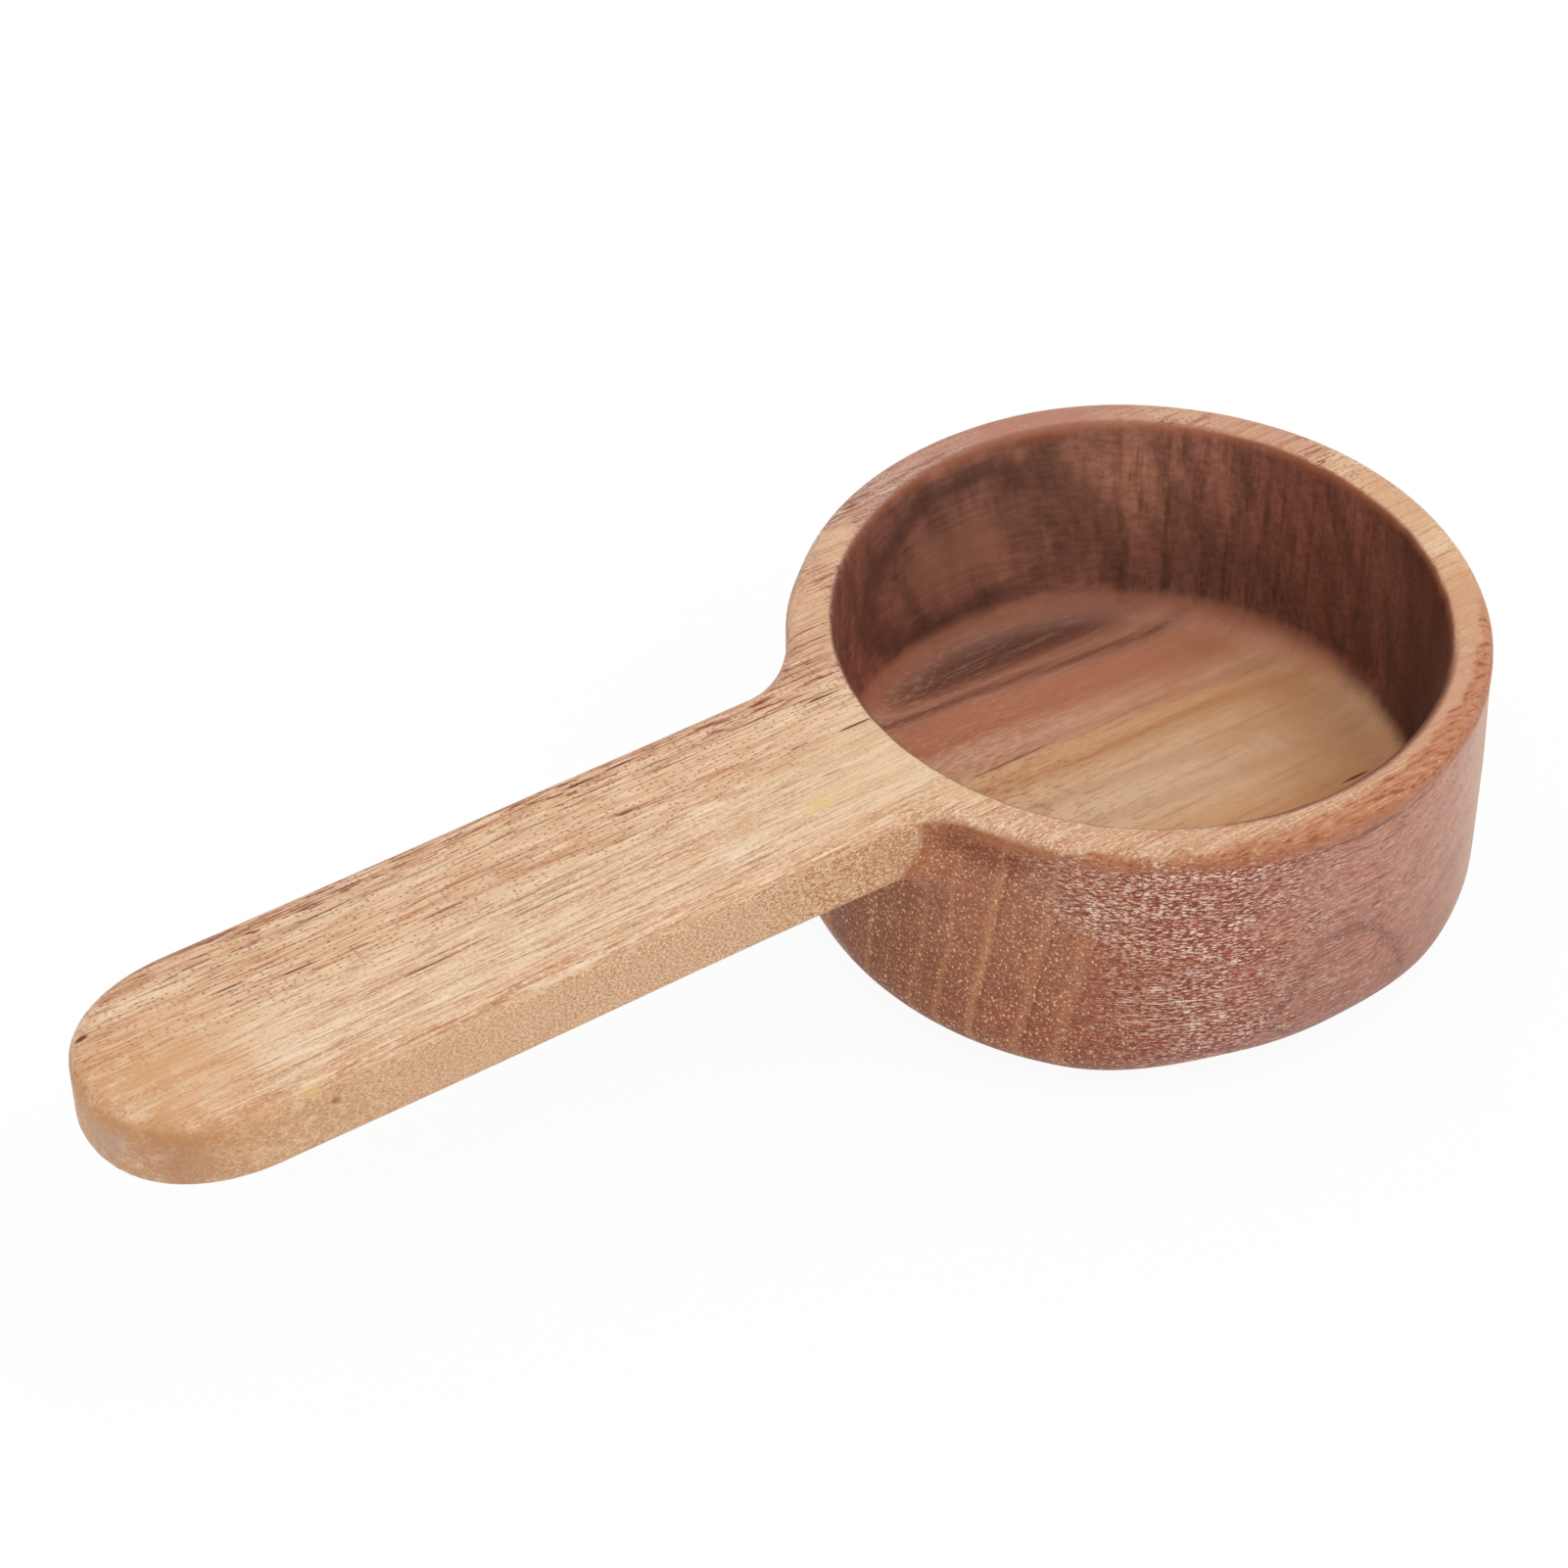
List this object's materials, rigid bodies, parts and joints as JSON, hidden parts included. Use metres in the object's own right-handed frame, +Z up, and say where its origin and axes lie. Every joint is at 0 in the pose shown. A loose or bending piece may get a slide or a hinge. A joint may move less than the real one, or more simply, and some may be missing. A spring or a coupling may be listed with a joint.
{
  "type": "measuring spoon",
  "caption": "Wooden measuring spoon cut from one billet: a round thick-walled bowl with a soft base edge, and a flat strip handle level with the rim.",
  "frame": {"origin": "centre of the flat face that the bowl stands on, on the bowl's axis", "axes": "+Z up out of the bowl's mouth, the handle points along -X, and +X is away from the handle"},
  "size_m": [0.1133, 0.052, 0.0247],
  "materials": {
    "oiled_hardwood": "satin"
  },
  "bodies": {
    "root": {"spoon_body": "oiled_hardwood"}
  },
  "joints": []
}
